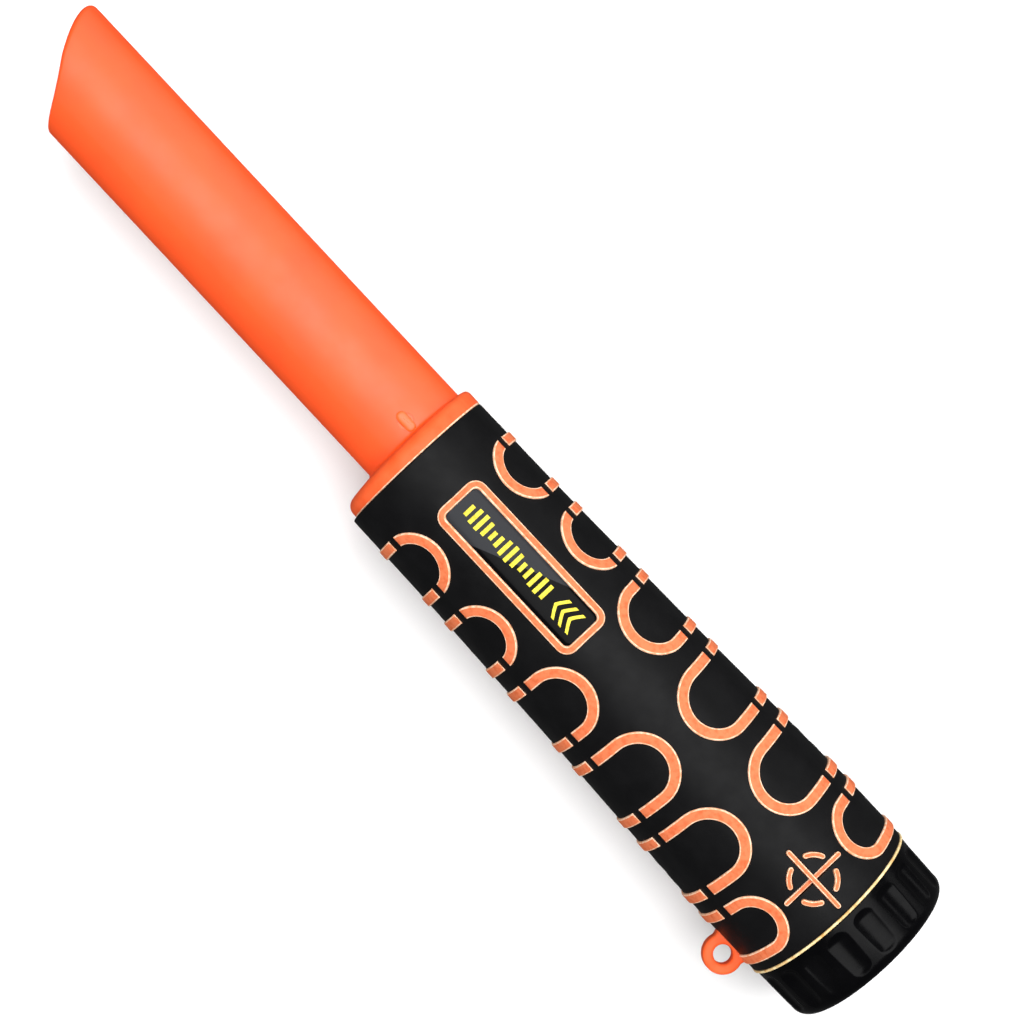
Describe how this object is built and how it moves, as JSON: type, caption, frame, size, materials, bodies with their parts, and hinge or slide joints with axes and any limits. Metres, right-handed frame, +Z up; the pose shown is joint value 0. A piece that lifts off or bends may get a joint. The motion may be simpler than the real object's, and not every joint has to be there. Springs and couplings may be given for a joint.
{
  "type": "pinpointer probe",
  "caption": "Handheld pinpointer probe with a slanted orange tube, rubber grip with horseshoe-magnet ribs, fluted screw cap and lanyard eye.",
  "frame": {"origin": "centre of the cap's outer end face, on the grip's axis", "axes": "+X along the grip towards the probe's tip, +Y towards the lanyard eye, +Z up through the badge"},
  "size_m": [0.24, 0.0457, 0.0395],
  "materials": {
    "orange_housing": "satin moulded",
    "orange_rubber": "soft matt, slightly peach",
    "black_rubber": "soft-touch matt",
    "black_gloss": "glossy moulded",
    "badge_gloss": "polished",
    "lens_clear": "translucent, polished",
    "led_body": "clear epoxy",
    "tinned_wire": "tinned",
    "board_green": "solder mask",
    "grey_plastic": "moulded",
    "chip_black": "moulded epoxy",
    "can_sleeve": "shrink sleeve",
    "steel": "bright",
    "brass_weight": "sintered",
    "flex_amber": "polyimide",
    "battery_wrap": "printed film",
    "former_plastic": "moulded",
    "ferrite": "sintered ceramic",
    "enamel_wire": "enamelled",
    "foam_grey": "closed-cell foam",
    "shield_foil": "graphite paper",
    "red_wire": "insulation",
    "membrane_white": "sound membrane"
  },
  "bodies": {
    "housing": {"housing_shell": "orange_housing", "probe_tube": "orange_housing", "grip_sleeve": "black_rubber", "horseshoe_inlays": "orange_rubber", "label_frame": "orange_rubber", "label_badge": "badge_gloss", "led_lens": "lens_clear", "led": "led_body", "led_leads": "tinned_wire", "main_pcb": "board_green", "pcb_tray": "grey_plastic", "ic_chips": "chip_black", "capacitors": "can_sleeve", "buzzer": "chip_black", "vibration_motor": "steel", "motor_clip": "grey_plastic", "switch_body": "steel", "switch_board": "board_green", "switch_ribbon": "flex_amber", "battery_can": "battery_wrap", "battery_terminals": "steel", "battery_snap": "chip_black", "battery_leads": "red_wire", "bulkhead": "grey_plastic", "bulkhead_screws": "steel", "coil_former": "former_plastic", "ferrite_rod": "ferrite", "transmit_winding": "enamel_wire", "receive_winding": "enamel_wire", "coil_leads": "enamel_wire", "coil_spacer": "foam_grey", "tip_cushion": "foam_grey", "coil_shield": "shield_foil"},
    "power_key": {"power_key": "orange_rubber", "switch_plunger": "chip_black"},
    "weight": {"motor_shaft": "steel", "eccentric_weight": "brass_weight"},
    "pad": {"battery_pad": "black_rubber", "pad_clip": "steel"},
    "cap": {"end_cap": "black_gloss", "cap_seal": "black_rubber", "grille_membrane": "membrane_white", "membrane_ring": "chip_black"}
  },
  "joints": [
    {"name": "power_press", "type": "slide", "parent": "housing", "child": "power_key", "axis": [0, 0, -1], "range_m": [0, 0.0006], "stiffness_N_per_m": 1500, "springref_m": -0.0002},
    {"name": "weight_spin", "type": "hinge", "parent": "housing", "child": "weight", "pos_m": [0.109, 0, -0.0052], "axis": [1, 0, 0], "continuous": true},
    {"name": "cap_travel", "type": "slide", "parent": "housing", "child": "pad", "axis": [-1, 0, 0], "range_m": [0, 0.006]},
    {"name": "cap_turn", "type": "hinge", "parent": "pad", "child": "cap", "pos_m": [0.006, 0, 0], "axis": [-1, 0, 0], "range_deg": [0, 540]}
  ],
  "couplings": [
    {"joint": "cap_travel", "follows": "cap_turn", "m_per_rad": 0.0006366}
  ]
}
